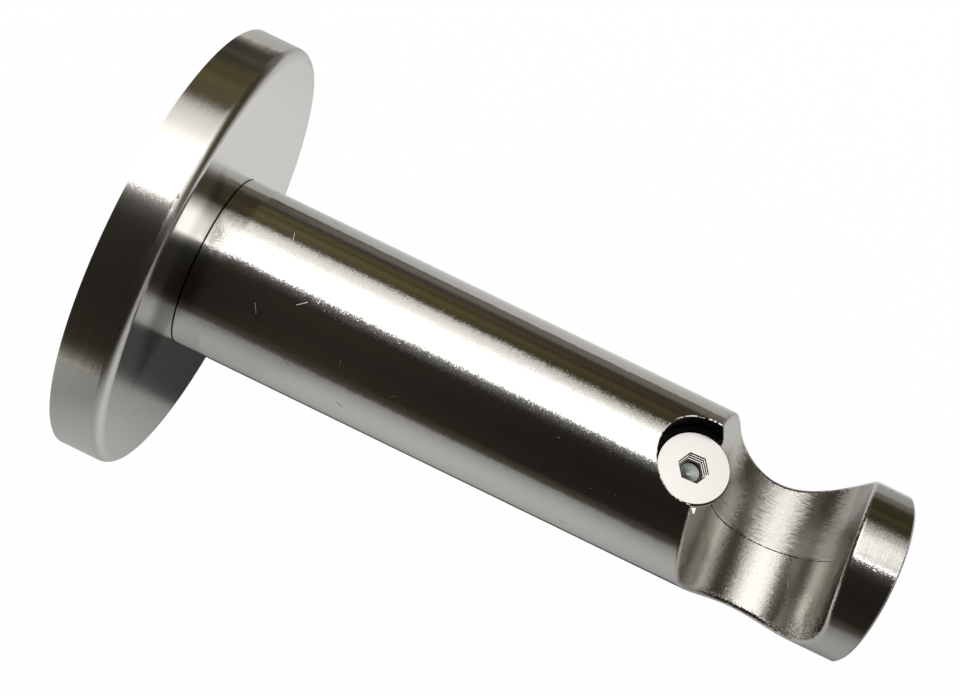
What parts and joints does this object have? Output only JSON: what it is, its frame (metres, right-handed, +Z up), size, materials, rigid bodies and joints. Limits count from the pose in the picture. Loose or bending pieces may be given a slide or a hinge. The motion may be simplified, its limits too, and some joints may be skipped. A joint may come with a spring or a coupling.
{
  "type": "curtain pole bracket",
  "caption": "Wall bracket with a round rosette, a straight round barrel and an open cradle near its tip, where a countersunk socket screw locks the curtain pole.",
  "frame": {"origin": "centre of the bracket's back, on the wall, on the barrel's axis", "axes": "+X out from the wall along the barrel to its tip, +Y along the curtain pole, +Z up, the side on which the cradle is open"},
  "size_m": [0.112, 0.0654, 0.0654],
  "materials": {
    "barrel_steel": "satin, brushed round the barrel and along the cradle",
    "rosette_steel": "satin, brushed round the rim",
    "screw_steel": "bright, turned face",
    "plate_steel": "plain zinc-plated sheet",
    "stud_steel": "zinc-plated screw stock"
  },
  "bodies": {
    "root": {"wall_plate": "plate_steel", "mounting_stud": "stud_steel", "rosette": "rosette_steel", "barrel": "barrel_steel", "locking_screw": "screw_steel"}
  },
  "joints": []
}
